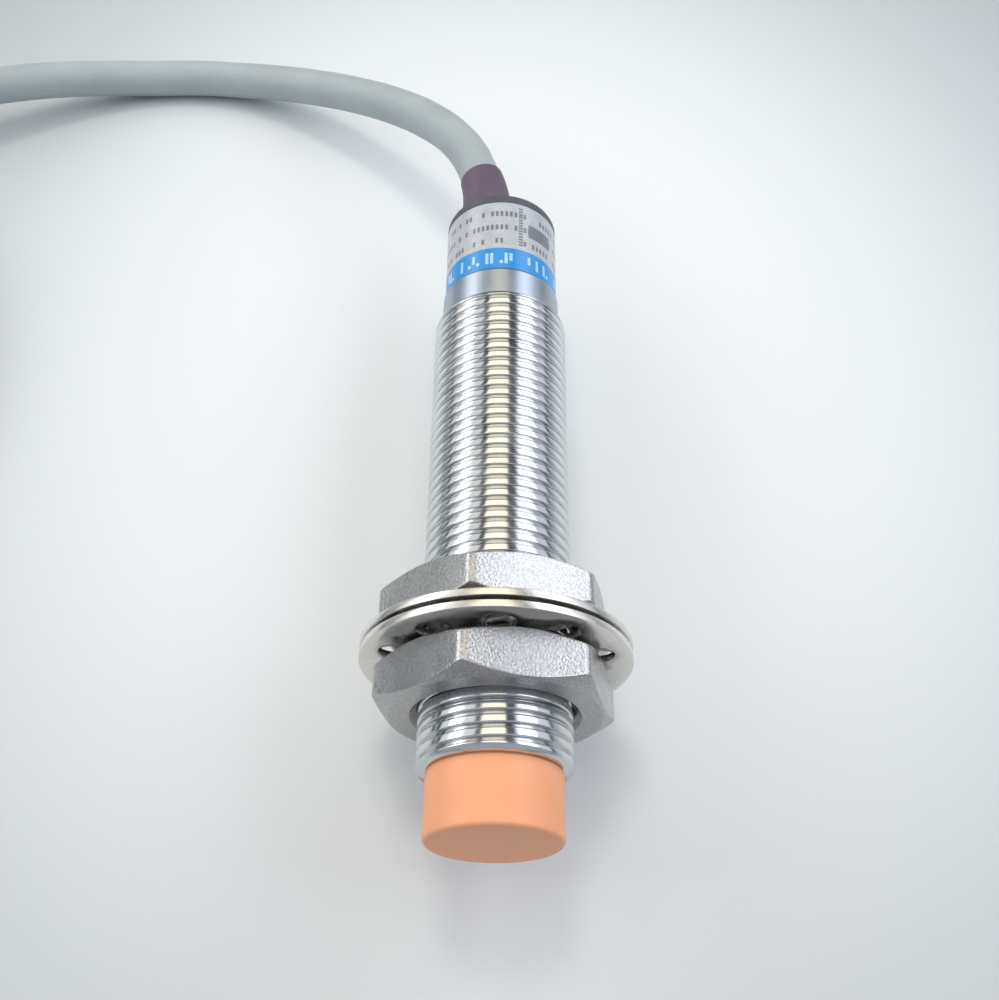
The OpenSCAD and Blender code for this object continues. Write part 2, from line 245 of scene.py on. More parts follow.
run_points = [(-2.6, 69, 0), (-3.4, 71, 0), (-4.8, 73.6, -0.2), (-7.6, 77.3, -1),
              (-11.4, 81.2, -2.4), (-16.2, 84.9, -4.2), (-21.2, 88.3, -6), (-26.4, 91, -7.6),
              (-31.4, 92.6, -8.5), (-36.4, 93.1, -8.8), (-41, 92.9, -8.8), (-46, 92.3, -8.3),
              (-52, 90.6, -7.1), (-57, 88.3, -5.8), (-62, 85.8, -5), (-68, 83.4, -4.8),
              (-75, 81.6, -4.8), (-82, 81, -4.8)]
tail_points = [(-115.4, 48, -8.8), (-116, 43, -8.8), (-117, 38, -8.8)]
relief_points = [Vector((OUTLET.x, OUTLET.y + y * MM, 0)) for y in (0, 1.5)]
relief_points += [relief_bend(step / RELIEF_STEPS) for step in range(RELIEF_STEPS + 1)]
# The coil: the upper layer winds inwards, drops through half a turn, and the lower winds outwards.
coil_points = []
coil_steps = round(COIL_TURNS * POINTS_A_TURN)
for step in range(coil_steps + 1):
    done = step / POINTS_A_TURN
    angle = math.radians(90) + math.tau * done
    from_middle = abs(done - COIL_TURNS / 2)
    radius = COIL_R + 2 * CABLE_R * (from_middle - COIL_TURNS / 4)
    drop = min(max((done - COIL_TURNS / 2) * 2 + 0.5, 0), 1)
    height = TOP_Z - 2 * CABLE_R * drop * drop * (3 - 2 * drop)
    coil_points.append(COIL_CENTRE + Vector((radius * math.cos(angle),
                                             radius * math.sin(angle), height)))
# The jacket is stiff, so it eases the bends between its points without pulling them tight.
run_way = [Vector(p) * MM for p in run_points]
for ease in (EASE, EASE_BACK) * EASE_ROUNDS:
    run_way = ([run_way[0]] + [middle + ease * ((before + after) / 2 - middle) for
                               before, middle, after in zip(run_way, run_way[1:], run_way[2:])]
               + [run_way[-1]])
for place in run_way:
    place.z = max(place.z, REST_Z)
cable_points = relief_points + run_way + coil_points + [Vector(p) * MM for p in tail_points]
cable_curve = bpy.data.curves.new("cable", "CURVE")
cable_curve.dimensions = "3D"
cable_curve.bevel_depth = CABLE_R
cable_curve.bevel_resolution = 6
cable_curve.resolution_u = 6
cable_curve.use_fill_caps = True
spline = cable_curve.splines.new("BEZIER")
spline.bezier_points.add(len(cable_points) - 1)
for point, place in zip(spline.bezier_points, cable_points):
    point.co = place
    point.handle_left_type = point.handle_right_type = "AUTO"
cable = bpy.data.objects.new("cable", cable_curve)
bpy.context.scene.collection.objects.link(cable)
# Extruded PVC: satin and slightly dusty, so its highlights are wide and soft.
jacket = surface("extruded_grey_pvc", ("#9fa9ac", "#a8b3b6"), (0.46, 0.6), patch=0.006,
                 grain=0.0004, height=0.000012)
cable_curve.materials.append(jacket)
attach(cable, "root")
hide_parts("cable_run", "cable_coil", "cable_tail")


def finished(name, bm, body, slot, material, *nodes, sharp=35):
    """Makes a piece from bm that stands for those CAD nodes. Edges over that angle stay sharp."""
    bmesh.ops.remove_doubles(bm, verts=bm.verts, dist=0.0005 * MM)
    bmesh.ops.recalc_face_normals(bm, faces=bm.faces)
    for edge in bm.edges:
        edge.smooth = edge.calc_face_angle(0) < math.radians(sharp)
    for face in bm.faces:
        face.smooth = True
    mesh = bpy.data.meshes.new(name)
    bm.to_mesh(mesh)
    bm.free()
    piece = bpy.data.objects.new(name, mesh)
    bpy.context.scene.collection.objects.link(piece)
    mesh.materials.append(material)
    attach(piece, body)
    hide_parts(*nodes)
    return piece


def lathe(bm, profile, closed=False, steps=128):
    """Turns a profile of (radius, y) points in millimetres about the barrel's axis."""
    verts = [bm.verts.new((r * MM, y * MM, 0)) for r, y in profile]
    pairs = list(zip(verts, verts[1:])) + ([(verts[-1], verts[0])] if closed else [])
    edges = [bm.edges.new(pair) for pair in pairs]
    bmesh.ops.spin(bm, geom=verts + edges, cent=(0, 0, 0), axis=(0, 1, 0), angle=math.tau,
                   steps=steps, use_merge=True)


# Sensing cap: a thin-walled orange cup that closes the front of the barrel and lets the
# coil's field out. Injection moulded, with a small radius round its face, and pressed in
# by its skirt.
CAP_R = 5.25
CAP_LEN = 5.3
CAP_EDGE = 0.35
CAP_HOLLOW_R = 4.0
CAP_SKIRT_R = 4.68
CAP_SKIRT_END = 11.3
CAP_FACE_T = 0.9
# The points close to a corner keep its shading crisp.
cap_profile = [(0, 0), (CAP_R - CAP_EDGE - 0.3, 0)]
for step in range(9):
    angle = math.radians(90) * step / 8
    cap_profile.append((CAP_R - CAP_EDGE + CAP_EDGE * math.sin(angle),
                        CAP_EDGE - CAP_EDGE * math.cos(angle)))
cap_profile += [(CAP_R, 0.8), (CAP_R, CAP_LEN - 0.15), (CAP_R - 0.12, CAP_LEN),
                (CAP_SKIRT_R, CAP_LEN), (CAP_SKIRT_R, CAP_SKIRT_END - 0.1),
                (CAP_SKIRT_R - 0.1, CAP_SKIRT_END), (CAP_HOLLOW_R, CAP_SKIRT_END),
                (CAP_HOLLOW_R, CAP_FACE_T), (0, CAP_FACE_T)]
bm = bmesh.new()
lathe(bm, cap_profile)
# The mould was spark eroded, which gives a fine satin grain with no gloss.
cap_plastic = surface("injection_moulded_orange_abs", ("#f6a97c", "#f9b083"), (0.44, 0.52),
                      patch=0.004, grain=0.00016, height=0.000006)
finished("cap", bm, "root", "cap_plastic", cap_plastic, "sensing_cap")

# Barrel: a brass tube, nickel plated and chromed after its M12 x 1 thread was cut. Behind
# the thread come a plain neck and a seat for the label, both turned down on a lathe.
THREAD_R = 6.0
PITCH = 1.0
THREAD_START = 5.3
THREAD_END = 47.95
THREAD_STEPS = 96
CHAMFER_R = 5.7
CHAMFER_SLOPE = 1.5
RUNOUT_R = 5.42
RUNOUT_SLOPE = 1.1
# One pitch of the thread: how far along it, and how far below the crest.
thread_cut = [(0, 0.55), (0.05, 0.52), (0.16, 0.12), (0.19, 0.05), (0.24, 0.012), (0.32, 0.002),
              (0.68, 0.002), (0.76, 0.012), (0.81, 0.05), (0.84, 0.12), (0.95, 0.52)]
bm = bmesh.new()
# The thread is spun longer than it is and cut off square at both ends.
turns = math.ceil((THREAD_END - THREAD_START) / PITCH) + 3
thread_verts = [bm.verts.new(((THREAD_R - depth * PITCH) * MM,
                              (THREAD_START + (turn - 2 + along) * PITCH) * MM, 0))
                for turn in range(turns) for along, depth in thread_cut]
thread_edges = [bm.edges.new(pair) for pair in zip(thread_verts, thread_verts[1:])]
bmesh.ops.spin(bm, geom=thread_verts + thread_edges, cent=(0, 0, 0), axis=(0, 1, 0),
               dvec=(0, PITCH / THREAD_STEPS * MM, 0), angle=math.tau, steps=THREAD_STEPS)
bmesh.ops.remove_doubles(bm, verts=bm.verts, dist=0.002 * MM)
for vert in bm.verts:
    radius = math.hypot(vert.co.x, vert.co.z) / MM
    along = vert.co.y / MM
    limit = min(CHAMFER_R + max(along - THREAD_START, 0) * CHAMFER_SLOPE,
                RUNOUT_R + max(THREAD_END - along, 0) * RUNOUT_SLOPE)
    if radius > limit:
        vert.co.x *= limit / radius
        vert.co.z *= limit / radius
end_loops = []
for end, side in ((THREAD_START, -1), (THREAD_END, 1)):
    cut = bmesh.ops.bisect_plane(bm, geom=bm.verts[:] + bm.edges[:] + bm.faces[:],
                                 dist=0.0001 * MM, plane_co=(0, end * MM, 0),
                                 plane_no=(0, side, 0), clear_outer=True)
    end_loops.append([edge for edge in cut["geom_cut"] if isinstance(edge, bmesh.types.BMEdge)])


def carry_on(bm, loop, profile):
    """Extrudes an open round edge through (radius, y) points and gives back the last loop."""
    for radius, along in profile:
        made = bmesh.ops.extrude_edge_only(bm, edges=loop)["geom"]
        for vert in (v for v in made if isinstance(v, bmesh.types.BMVert)):
            share = radius * MM / math.hypot(vert.co.x, vert.co.z)
            vert.co = (vert.co.x * share, along * MM, vert.co.z * share)
        loop = [e for e in made if isinstance(e, bmesh.types.BMEdge)
                and all(abs(v.co.y - along * MM) < 1e-7 for v in e.verts) and e.is_boundary]
    return loop


BORE_R = 4.7
NECK_R = 5.4
SEAT_R = 5.15
LABEL_START = 50.9
LABEL_END = 59.2
front_loop = carry_on(bm, end_loops[0], [(BORE_R + 0.05, THREAD_START)])
rear_loop = carry_on(bm, end_loops[1], [(NECK_R, THREAD_END + 0.03), (NECK_R, THREAD_END + 0.1),
                                        (NECK_R, LABEL_START - 0.25), (NECK_R, LABEL_START - 0.15),
                                        (NECK_R - 0.12, LABEL_START), (SEAT_R, LABEL_START + 0.01),
                                        (SEAT_R, LABEL_END - 0.01), (BORE_R, LABEL_END)])
bmesh.ops.bridge_loops(bm, edges=front_loop + rear_loop)
# Plated over turned brass: a near mirror, with faint patches where the bath left it duller.
chrome = surface("bright_chrome_plated_brass", ("#cfd2d3", "#dadcde"), (0.09, 0.18),
                 patch=0.0025, grain=0.0003, height=0.0000015, Metallic=1.0)
barrel = finished("barrel", bm, "root", "barrel_plating", chrome, "threaded_barrel", sharp=72)
# The neck was left as turned, so its plating is duller than the thread's.
barrel.data.materials.append(surface("satin_chrome_plated_brass", ("#a3acb7", "#b2bbc6"),
                                     (0.3, 0.38), patch=0.0025, grain=0.0002, height=0.000004,
                                     Metallic=1.0))
for face in barrel.data.polygons:
    if THREAD_END * MM < face.center.y < (LABEL_START + 0.02) * MM:
        face.material_index = 1

# Nuts: hexagons forged from brass bar, chamfered on both faces, countersunk, and plated in a
# barrel with hundreds of others, which leaves their flats slightly rough and their corners
# peened.
NUT_HALF_AF = 8.5
NUT_FACE_R = 8.3
NUT_BORE_R = 6.05
NUT_SINK = 0.6
NUT_T = 4.0
NUT_CORNER_ROUND = 0.9
NUT_EDGE = 0.05
# Degrees off a corner: close together over its rounding, then even along the flat.
NUT_SPREAD = [0, 0.68, 1.35, 2.03, 2.69, 3.2, 3.8] + [4.6 + 2.3 * k for k in range(11)] + [30]


def hexagon(angle):
    """Distance from the middle to a hexagon with rounded corners, angle degrees off a corner."""
    middle = (NUT_HALF_AF - NUT_CORNER_ROUND) / math.cos(math.radians(30))
    turn = math.radians(angle)
    reach = NUT_CORNER_ROUND ** 2 - (middle * math.sin(turn)) ** 2
    if reach >= 0:
        rounded = middle * math.cos(turn) + math.sqrt(reach)
        if rounded * math.sin(abs(turn)) <= NUT_CORNER_ROUND / 2 + 1e-9:
            return rounded
    return NUT_HALF_AF / math.cos(math.radians(30 - abs(angle)))


def nut_bmesh(front_y, corner):
    """A nut whose front face is at front_y and one of whose corners is at that angle."""
    bm = bmesh.new()
    offsets = [-a for a in reversed(NUT_SPREAD[1:])] + NUT_SPREAD[:-1]
    rings = []
    for side in range(6):
        for offset in offsets:
            out = hexagon(offset)
            rise = (out - NUT_FACE_R) * math.tan(math.radians(30))
            lean, lift = math.cos(math.radians(30)), math.sin(math.radians(30))
            soft = NUT_EDGE * (2 if rise > 0.2 else 1)
            half = [(NUT_BORE_R, NUT_SINK + 0.4), (NUT_BORE_R, NUT_SINK),
                    (NUT_BORE_R + NUT_SINK, 0), (NUT_BORE_R + NUT_SINK + 0.1, 0),
                    (NUT_FACE_R - 0.04, 0), (NUT_FACE_R, 0),
                    (out - 1.6 * soft * lean, rise - 1.6 * soft * lift),
                    (out - soft * lean, rise - soft * lift),
                    (out - 0.2 * soft, rise + 0.25 * soft), (out, rise + soft),
                    (out, rise + 1.7 * soft)]
            profile = half + [(r, NUT_T - y) for r, y in reversed(half)]
            turn = math.radians(corner + 60 * side + offset)
            rings.append([bm.verts.new((r * math.cos(turn) * MM, (front_y + y) * MM,
                                        r * math.sin(turn) * MM)) for r, y in profile])
    for ring, following in zip(rings, rings[1:] + rings[:1]):
        for i in range(len(ring)):
            j = (i + 1) % len(ring)
            bm.faces.new((ring[i], ring[j], following[j], following[i]))
    return bm


# Plated forging: satin flats with a fine pebbled grain, rougher towards the corners.
nut_plating, nut_shader = new_material("barrel_plated_forged_brass", Metallic=1.0)
nut_space = add(nut_plating, "TexCoord").outputs["Object"]
nut_clouds = add(nut_plating, "TexNoise", {"Scale": 1 / 0.003, "Detail": 5, "Roughness": 0.65},
                 {"Vector": nut_space})
nut_grains = add(nut_plating, "TexNoise", {"Scale": 1 / 0.00018, "Detail": 2, "Roughness": 0.5},
                 {"Vector": nut_space})
nut_tint = add(nut_plating, "ValToRGB", links={"Fac": nut_grains.outputs["Fac"]})
for stop, place, shade in zip(nut_tint.color_ramp.elements, (0.36, 0.64), ("#aaabab", "#c3c4c5")):
    stop.position = place
    stop.color = linear(shade)
nut_wear = add(nut_plating, "MapRange", {"From Min": 0.3, "From Max": 0.7, "To Min": 0.24,
                                         "To Max": 0.33}, {"Value": nut_clouds.outputs["Fac"]})
nut_flat = add(nut_plating, "VectorMath", {"operation": "MULTIPLY", 1: (1, 0, 1)}, {0: nut_space})
nut_reach = add(nut_plating, "VectorMath", {"operation": "LENGTH"}, {0: nut_flat.outputs["Vector"]})
nut_rough_zone = add(nut_plating, "MapRange", {"From Min": 8.4 * MM, "From Max": 9.7 * MM,
                                               "To Min": 0.4, "To Max": 2.6},
                     {"Value": nut_reach.outputs["Value"]})
nut_relief_height = add(nut_plating, "Math", {"operation": "MULTIPLY"},
                        {0: nut_grains.outputs["Fac"], 1: nut_rough_zone.outputs["Result"]})
nut_relief = add(nut_plating, "Bump", {"Strength": 1, "Distance": 0.02 * MM},
                 {"Height": nut_relief_height.outputs["Value"]})
feed(nut_plating, nut_shader, Base_Color=nut_tint.outputs["Color"],
     Roughness=nut_wear.outputs["Result"], Normal=nut_relief.outputs["Normal"])
for nut, corner in (("front_nut", 105), ("rear_nut", 101.7)):
    bm = nut_bmesh(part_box(nut)[0][1] / MM, corner)
    finished("hex_" + nut, bm, nut, "nut_plating", nut_plating, nut, sharp=25)

# Lock washers: spring steel rings, blanked with ten slots so that ten teeth point inwards.
# Each tooth is twisted a little, to bite into the nut and the bracket, and the blanked edges
# are tumbled round before plating.
WASHER_R = 10.8
WASHER_T = 0.6
TEETH = 10
TOOTH_TIP_R = 6.2
SLOT_MOUTH = 0.9
SLOT_HALF_W = 1.3
SLOT_MIDDLE_R = 8.2
SLOT_SIDE = (7.1, 1.09)
MOUTH_ANGLE = 8.35
TWIST = 0.15
EDGE_ROUND = 0.07


def washer_outline(slot_angle):
    """The toothed inner edge, and how strongly each of its points takes part in the twist."""
    outline = []
    for tooth in range(TEETH):
        axis = math.radians(slot_angle + 360 * tooth / TEETH)
        slot = [(TOOTH_TIP_R, -SLOT_MOUTH), (SLOT_SIDE[0], -SLOT_SIDE[1]),
                (SLOT_MIDDLE_R, -SLOT_HALF_W)]
        slot += [(SLOT_MIDDLE_R + SLOT_HALF_W * math.cos(a), SLOT_HALF_W * math.sin(a))
                 for a in (math.radians(-90 + 12 * k) for k in range(1, 15))]
        slot += [(x, -y) for x, y in reversed(slot[:3])]
        for x, y in slot:
            fade = max((SLOT_MIDDLE_R - x) / (SLOT_MIDDLE_R - TOOTH_TIP_R), 0)
            outline.append((x * math.cos(axis) - y * math.sin(axis),
                            x * math.sin(axis) + y * math.cos(axis),
                            fade * (1 if y > 0 else -1)))
        for k in range(1, 8):
            turn = axis + math.radians(MOUTH_ANGLE + (360 / TEETH - 2 * MOUTH_ANGLE) * k / 8)
            outline.append((TOOTH_TIP_R * math.cos(turn), TOOTH_TIP_R * math.sin(turn), 1 - k / 4))
    return outline


def washer_bmesh(front_y, slot_angle):
    """A washer whose front face is at front_y and one of whose slots is at that angle."""
    bm = bmesh.new()
    rim = [(WASHER_R * math.cos(math.tau * k / 180), WASHER_R * math.sin(math.tau * k / 180), 0)
           for k in range(180)]
    levels = ((0, EDGE_ROUND), (0.3 * EDGE_ROUND, 0.3 * EDGE_ROUND), (EDGE_ROUND, 0),
              (WASHER_T - EDGE_ROUND, 0), (WASHER_T - 0.3 * EDGE_ROUND, 0.3 * EDGE_ROUND),
              (WASHER_T, EDGE_ROUND))
    flats = {0: [], len(levels) - 1: []}
    for points, inward in ((rim, True), (washer_outline(slot_angle), False)):
        rings = []
        for height, inset in levels:
            ring = []
            for i, (x, z, twist) in enumerate(points):
                before, after = points[i - 1], points[(i + 1) % len(points)]
                along = Vector((after[0] - before[0], after[1] - before[1])).normalized()
                push = Vector((-along.y, along.x)) * inset * (1 if inward else -1)
                ring.append(bm.verts.new(((x + push.x) * MM, (front_y + height + twist * TWIST) * MM,
                                          (z + push.y) * MM)))
            rings.append(ring)
        for ring, following in zip(rings, rings[1:]):
            for i in range(len(ring)):
                bm.faces.new((ring[i - 1], ring[i], following[i], following[i - 1]))
        for level in flats:
            ring = rings[level]
            flats[level] += [bm.edges.get((ring[i - 1], ring[i])) for i in range(len(ring))]
    for edges in flats.values():
        bmesh.ops.triangle_fill(bm, edges=edges, use_beauty=True, use_dissolve=False,
                                normal=(0, 1, 0))
    return bm


# Bright zinc on blanked steel: smoother than the nuts, and duller in patches.
washer_plating = surface("zinc_plated_blanked_spring_steel", ("#dddbd5", "#e9e7e2"), (0.2, 0.34),
                         patch=0.004, grain=0.0005, height=0.000004, Metallic=1.0)
for washer, slot_angle in (("front_washer", 161), ("rear_washer", 179)):
    bm = washer_bmesh(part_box(washer)[0][1] / MM, slot_angle)
    finished("toothed_" + washer, bm, washer, "washer_plating", washer_plating, washer)

# Label: a printed film, wrapped once round its seat, with a blue band in front and small marks
# behind it. Its edges are cut square.
LABEL_R = 5.25
BAND_END = 53.4
bm = bmesh.new()
lathe(bm, [(SEAT_R + 0.01, LABEL_START + 0.03), (LABEL_R - 0.02, LABEL_START + 0.03),
           (LABEL_R, LABEL_START + 0.05), (LABEL_R, LABEL_END - 0.05),
           (LABEL_R - 0.02, LABEL_END - 0.03), (SEAT_R + 0.01, LABEL_END - 0.03)], closed=True)
# Screen printed on silver film under a clear coat: marks in rows, a bar and a block.
film, film_shader = new_material("screen_printed_silver_film", Coat_Weight=0.25,
                                 Coat_Roughness=0.12, Metallic=0.0)
film_space = add(film, "TexCoord").outputs["Object"]
film_place = add(film, "SeparateXYZ", links={"Vector": film_space})
film_turn = add(film, "Math", {"operation": "ARCTAN2"},
                {0: film_place.outputs["Z"], 1: film_place.outputs["X"]}).outputs["Value"]
film_along = film_place.outputs["Y"]


def within(value, low, high):
    """1 where value lies between low and high, else 0."""
    above = add(film, "Math", {"operation": "GREATER_THAN", 1: low}, {0: value})
    below = add(film, "Math", {"operation": "LESS_THAN", 1: high}, {0: value})
    both = add(film, "Math", {"operation": "MULTIPLY"},
               {0: above.outputs["Value"], 1: below.outputs["Value"]})
    return both.outputs["Value"]


def combined(operation, *values):
    """Joins several masks by a math operation."""
    result = values[0]
    for value in values[1:]:
        result = add(film, "Math", {"operation": operation}, {0: result, 1: value}).outputs["Value"]
    return result


# Rows are places along the label, and turns are angles round it in radians.
ROW_PITCH = 1.7 * MM
ROW_START = BAND_END * MM + 0.1 * ROW_PITCH
MARK_PITCH = 0.085
BAR_PITCH = 0.35 * MM
MARK_ROWS = (53.7 * MM, 58.9 * MM)
LIGHT_ROWS = (51.5 * MM, 52.8 * MM)
BAR_ROWS = (53.9 * MM, 58.7 * MM)
BAR_TURNS = (1.18, 1.26)
BLOCK_ROWS = (55.3 * MM, 56.9 * MM)
BLOCK_TURNS = (0.54, 1.07)
row = add(film, "Math", {"operation": "MULTIPLY_ADD", 1: 1 / ROW_PITCH, 2: -ROW_START / ROW_PITCH},
          {0: film_along}).outputs["Value"]
mark = add(film, "Math", {"operation": "MULTIPLY", 1: 1 / MARK_PITCH},
           {0: film_turn}).outputs["Value"]
row_share = add(film, "Math", {"operation": "FRACT"}, {0: row}).outputs["Value"]
mark_share = add(film, "Math", {"operation": "FRACT"}, {0: mark}).outputs["Value"]
row_number = add(film, "Math", {"operation": "FLOOR"}, {0: row}).outputs["Value"]
mark_number = add(film, "Math", {"operation": "FLOOR"}, {0: mark}).outputs["Value"]
cell = add(film, "CombineXYZ", links={"X": row_number, "Y": mark_number})
chance = add(film, "TexWhiteNoise", {"noise_dimensions": "2D"}, {"Vector": cell.outputs["Vector"]})
silver_part = within(film_along, BAND_END * MM, LABEL_END * MM)
blue_part = within(film_along, LABEL_START * MM, BAND_END * MM)
small_marks = combined("MULTIPLY", silver_part, within(row_share, 0.25, 0.62),
                       within(mark_share, 0.15, 0.75), within(chance.outputs["Value"], 0.35, 2),
                       within(film_along, *MARK_ROWS))
bar_step = add(film, "Math", {"operation": "MULTIPLY", 1: 1 / BAR_PITCH},
               {0: film_along}).outputs["Value"]
bar_share = add(film, "Math", {"operation": "FRACT"}, {0: bar_step}).outputs["Value"]
bar = combined("MULTIPLY", within(film_turn, *BAR_TURNS), within(film_along, *BAR_ROWS),
               within(bar_share, 0.0, 0.7))
block = combined("MULTIPLY", within(film_turn, *BLOCK_TURNS), within(film_along, *BLOCK_ROWS))
ink = combined("MAXIMUM", small_marks, bar, block)
light_marks = combined("MULTIPLY", blue_part, within(film_along, *LIGHT_ROWS),
                       within(mark_share, 0.15, 0.8), within(chance.outputs["Value"], 0.62, 2))
film_grain = add(film, "TexNoise", {"Scale": 1 / 0.0006, "Detail": 4}, {"Vector": film_space})
film_tint = add(film, "ValToRGB", links={"Fac": film_grain.outputs["Fac"]})
for stop, place, shade in zip(film_tint.color_ramp.elements, (0.3, 0.7), ("#acb1b8", "#bac0c6")):
    stop.position = place
    stop.color = linear(shade)
colour = film_tint.outputs["Color"]
for mask, shade in ((blue_part, "#178dd6"), (light_marks, "#a9d4f2"), (ink, "#70747c")):
    mixed = add(film, "MixRGB", {"Color2": linear(shade)}, {"Fac": mask, "Color1": colour})
    colour = mixed.outputs["Color"]
film_wear = add(film, "MapRange", {"To Min": 0.3, "To Max": 0.42},
                {"Value": film_grain.outputs["Fac"]})
film_relief = add(film, "Bump", {"Strength": 1, "Distance": 0.004 * MM}, {"Height": ink})
feed(film, film_shader, Base_Color=colour, Roughness=film_wear.outputs["Result"],
     Normal=film_relief.outputs["Normal"])
finished("label", bm, "root", "label_film", film, "rating_label")

# Strain relief: a soft maroon sleeve, moulded onto the cable and held by the end cap, so that
# the cable bends in an easy curve where it leaves the barrel.
BOOT_R = 2.5
BOOT_TIP_R = 2.2
STEM_R = 2.0
STEM_START = 55.2
BOOT_START = 60.3
BOOT_STEPS = 12


def sweep(bm, route, radii, sides=32):
    """A closed tube along a route of points in metres, with a radius for each of them."""
    rings = []
    for i, place in enumerate(route):
        before, after = route[max(i - 1, 0)], route[min(i + 1, len(route) - 1)]
        heading = (after - before).normalized()
        side = heading.cross(Vector((0, 0, 1))).normalized()
        lift = side.cross(heading)
        rings.append([bm.verts.new(place + radii[i] * (math.cos(math.tau * k / sides) * side
                                                       + math.sin(math.tau * k / sides) * lift))
                      for k in range(sides)])
    for ring, following in zip(rings, rings[1:]):
        for k in range(sides):
            bm.faces.new((ring[k - 1], ring[k], following[k], following[k - 1]))
    bm.faces.new(rings[0])
    bm.faces.new(rings[-1])


boot_route = [Vector((OUTLET.x, y * MM, 0))
              for y in (STEM_START, BOOT_START - 0.02, BOOT_START, BOOT_START + 0.06,
                        BOOT_START + 0.5, BOOT_START + 1.1)]
boot_radii = [STEM_R, STEM_R, BOOT_R - 0.06, BOOT_R, BOOT_R, BOOT_R - 0.03]
for step in range(BOOT_STEPS + 1):
    share = step / BOOT_STEPS
    boot_route.append(relief_bend(share))
    boot_radii.append(BOOT_R - 0.06 + (BOOT_TIP_R - BOOT_R + 0.06) * share)
tip = boot_route[-1]
tip_way = (tip - boot_route[-2]).normalized()
for reach, radius in ((0.1, BOOT_TIP_R - 0.02), (0.17, BOOT_TIP_R - 0.08), (0.2, 2.03)):
    boot_route.append(tip + tip_way * reach * MM)
    boot_radii.append(radius)
bm = bmesh.new()
sweep(bm, boot_route, [r * MM for r in boot_radii], sides=40)
# Moulded soft PVC: matt, a little blotchy, with a rubbery grain.
boot_pvc = surface("moulded_soft_maroon_pvc", ("#5e4f62", "#69596d"), (0.5, 0.64),
                   patch=0.003, grain=0.0002, height=0.000012)
finished("boot", bm, "root", "strain_relief_pvc", boot_pvc, "strain_relief")

# Coil tie: a flat nylon band that holds the coil's turns together. It is extruded, cut to
# length and heat sealed into a closed loop.
TIE_HALF_W = 2.0
TIE_T = 0.4
TIE_REACH = 9.05
TIE_HEIGHT = 8.5
TIE_ROUND = 2.2
TIE_INSET = 0.325
tie_middle = Vector((COIL_CENTRE.x, COIL_CENTRE.y - COIL_R + TIE_INSET * MM, SURFACE_Z))
tie_path = []
for corner_y, corner_z, start in ((TIE_REACH - TIE_ROUND, TIE_HEIGHT - TIE_ROUND, 0),
                                  (-TIE_REACH + TIE_ROUND, TIE_HEIGHT - TIE_ROUND, 90),
                                  (-TIE_REACH + TIE_ROUND, TIE_ROUND, 180),
                                  (TIE_REACH - TIE_ROUND, TIE_ROUND, 270)):
    for step in range(9):
        turn = math.radians(start + 90 * step / 8)
        tie_path.append((corner_y, corner_z, math.cos(turn), math.sin(turn)))
tie_section = ((-TIE_HALF_W, 0.1), (-TIE_HALF_W + 0.1, 0), (TIE_HALF_W - 0.1, 0), (TIE_HALF_W, 0.1),
               (TIE_HALF_W, TIE_T - 0.1), (TIE_HALF_W - 0.1, TIE_T), (-TIE_HALF_W + 0.1, TIE_T),
               (-TIE_HALF_W, TIE_T - 0.1))
bm = bmesh.new()
tie_rings = [[bm.verts.new(tie_middle + Vector((x, y + (TIE_ROUND - depth) * out_y,
                                                z + (TIE_ROUND - depth) * out_z)) * MM)
              for x, depth in tie_section] for y, z, out_y, out_z in tie_path]
for ring, following in zip(tie_rings, tie_rings[1:] + tie_rings[:1]):
    for i in range(len(ring)):
        bm.faces.new((ring[i - 1], ring[i], following[i], following[i - 1]))
# Extruded nylon: dark, with a slight sheen and fine scuffs.
tie_nylon = surface("extruded_black_nylon", ("#1c1c1f", "#26262a"), (0.35, 0.5),
                    patch=0.002, grain=0.0003, height=0.000008)
finished("tie", bm, "root", "tie_plastic", tie_nylon, "coil_tie")

# Conductors: three cores of stranded copper in brown, blue and black PVC, bared and tinned at
# the ends and fanned a little where they leave the jacket.
LEAD_R = 0.55
LEAD_LEN = 24
TIP_LEN = 6
LEAD_PITCH = 1.2
LEAD_FAN = math.radians(5)
LEAD_HEADING = math.radians(-99)
TOP_CORE_Z = -8.4
SIDE_CORE_Z = -9.2
CORE_PITCH = 0.8
SETTLE_LEN = 5
STRAND_R = 0.115
STRANDS = 7
STRAND_STEPS = 12
LAY_R = 0.235
LAY_LEN = 9
STRAND_SINK = 0.12
jacket_end = Vector(tail_points[-1]) * MM
lead_way = Vector((math.cos(LEAD_HEADING), math.sin(LEAD_HEADING), 0))
lead_side = Vector((-lead_way.y, lead_way.x, 0))


def lead_point(k, reach):
    """The middle of lead k, reach millimetres from the jacket's end."""
    settle = min(max(reach / SETTLE_LEN, 0), 1)
    start_z = TOP_CORE_Z if k == 0 else SIDE_CORE_Z
    height = start_z + (SURFACE_Z / MM + LEAD_R - start_z) * settle * settle * (3 - 2 * settle)
    across = k * (CORE_PITCH + (LEAD_PITCH - CORE_PITCH) * settle) + reach * math.sin(k * LEAD_FAN)
    place = jacket_end + (lead_way * reach * math.cos(k * LEAD_FAN) + lead_side * across) * MM
    return Vector((place.x, place.y, height * MM))


